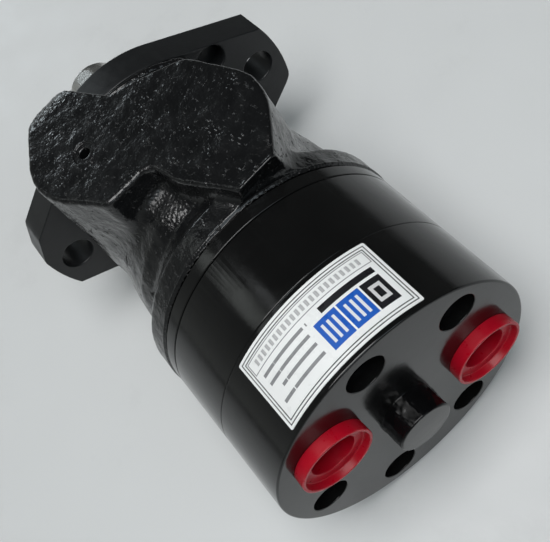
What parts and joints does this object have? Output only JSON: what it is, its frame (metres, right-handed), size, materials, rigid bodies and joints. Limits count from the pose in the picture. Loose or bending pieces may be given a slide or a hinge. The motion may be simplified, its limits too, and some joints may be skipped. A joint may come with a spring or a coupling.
{
  "type": "hydraulic motor",
  "caption": "Orbital hydraulic motor with a flanged front, keyed output shaft, cast housing with port pad, roller gear set and end cover with capped rear ports.",
  "frame": {"origin": "on the shaft axis, in the plane of the flange's mounting face, at the centre of its pilot spigot", "axes": "+X along the output shaft towards its free end; +Z to the cast port pad; +Y to one of the two flange ears"},
  "size_m": [0.2208, 0.1292, 0.106],
  "materials": {
    "cast_paint": "gloss black paint over rough sand casting",
    "flange_paint": "satin black paint on a machined plate",
    "gloss_paint": "mirror gloss black paint on turned steel",
    "seal_rubber": "matt black nitrile rubber",
    "bearing_steel": "ground and polished",
    "gear_steel": "hardened and ground",
    "bare_steel": "ground, bare",
    "bolt_steel": "black oxide",
    "red_plastic": "moulded red polyethylene",
    "label_film": "silvered printed film"
  },
  "bodies": {
    "body": {"housing": "cast_paint", "mounting_flange": "flange_paint", "flange_screw_1": "bolt_steel", "flange_screw_2": "bolt_steel", "flange_screw_3": "bolt_steel", "flange_screw_4": "bolt_steel", "dust_seal": "seal_rubber", "shaft_seal": "seal_rubber", "flange_o_ring": "seal_rubber", "bearing_race": "bearing_steel", "spacer_plate": "gloss_paint", "gear_ring": "gloss_paint", "body_o_ring_1": "seal_rubber", "body_o_ring_2": "seal_rubber", "body_o_ring_3": "seal_rubber", "end_cover": "gloss_paint", "cover_bolt_1": "bolt_steel", "cover_bolt_2": "bolt_steel", "cover_bolt_3": "bolt_steel", "cover_bolt_4": "bolt_steel", "cover_bolt_5": "bolt_steel", "bolt_washer_1": "bare_steel", "bolt_washer_2": "bare_steel", "bolt_washer_3": "bare_steel", "bolt_washer_4": "bare_steel", "bolt_washer_5": "bare_steel", "nameplate": "label_film"},
    "shaft": {"output_shaft": "bare_steel", "shaft_key": "bare_steel"},
    "thrust_cage": {"thrust_bearing": "bearing_steel"},
    "orbit": {"drive_spacer": "gear_steel"},
    "gear_rotor": {"rotor": "gear_steel"},
    "cardan": {"cardan_shaft": "gear_steel"},
    "roller_1_body": {"roller_1": "bearing_steel"},
    "roller_2_body": {"roller_2": "bearing_steel"},
    "roller_3_body": {"roller_3": "bearing_steel"},
    "roller_4_body": {"roller_4": "bearing_steel"},
    "roller_5_body": {"roller_5": "bearing_steel"},
    "roller_6_body": {"roller_6": "bearing_steel"},
    "roller_7_body": {"roller_7": "bearing_steel"},
    "plug_a": {"port_plug_a": "red_plastic"},
    "plug_b": {"port_plug_b": "red_plastic"}
  },
  "joints": [
    {"name": "shaft_spin", "type": "hinge", "parent": "body", "child": "shaft", "pos_m": [0, 0, 0], "axis": [1, 0, 0], "continuous": true},
    {"name": "cage_spin", "type": "hinge", "parent": "body", "child": "thrust_cage", "pos_m": [-0.0126, 0, 0], "axis": [1, 0, 0], "continuous": true},
    {"name": "orbit_turn", "type": "hinge", "parent": "body", "child": "orbit", "pos_m": [-0.117, 0, 0], "axis": [1, 0, 0], "continuous": true},
    {"name": "rotor_spin", "type": "hinge", "parent": "orbit", "child": "gear_rotor", "pos_m": [-0.117, 0, 0.0026], "axis": [1, 0, 0], "continuous": true},
    {"name": "cardan_spin", "type": "hinge", "parent": "orbit", "child": "cardan", "pos_m": [-0.038, 0, 0], "axis": [0.9995, 0, -0.0329], "continuous": true},
    {"name": "roller_1_spin", "type": "hinge", "parent": "body", "child": "roller_1_body", "pos_m": [-0.117, -0.01241, 0.02577], "axis": [1, 0, 0], "continuous": true},
    {"name": "roller_2_spin", "type": "hinge", "parent": "body", "child": "roller_2_body", "pos_m": [-0.117, -0.02788, 0.00636], "axis": [1, 0, 0], "continuous": true},
    {"name": "roller_3_spin", "type": "hinge", "parent": "body", "child": "roller_3_body", "pos_m": [-0.117, -0.02236, -0.01783], "axis": [1, 0, 0], "continuous": true},
    {"name": "roller_4_spin", "type": "hinge", "parent": "body", "child": "roller_4_body", "pos_m": [-0.117, 0, -0.0286], "axis": [1, 0, 0], "continuous": true},
    {"name": "roller_5_spin", "type": "hinge", "parent": "body", "child": "roller_5_body", "pos_m": [-0.117, 0.02236, -0.01783], "axis": [1, 0, 0], "continuous": true},
    {"name": "roller_6_spin", "type": "hinge", "parent": "body", "child": "roller_6_body", "pos_m": [-0.117, 0.02788, 0.00636], "axis": [1, 0, 0], "continuous": true},
    {"name": "roller_7_spin", "type": "hinge", "parent": "body", "child": "roller_7_body", "pos_m": [-0.117, 0.01241, 0.02577], "axis": [1, 0, 0], "continuous": true},
    {"name": "plug_a_pull", "type": "slide", "parent": "body", "child": "plug_a", "axis": [-1, 0, 0], "range_m": [0, 0.018]},
    {"name": "plug_b_pull", "type": "slide", "parent": "body", "child": "plug_b", "axis": [-1, 0, 0], "range_m": [0, 0.018]}
  ],
  "couplings": [
    {"joint": "cage_spin", "follows": "shaft_spin", "ratio": 0.5},
    {"joint": "orbit_turn", "follows": "shaft_spin", "ratio": -6},
    {"joint": "rotor_spin", "follows": "shaft_spin", "ratio": 7},
    {"joint": "cardan_spin", "follows": "shaft_spin", "ratio": 7}
  ]
}
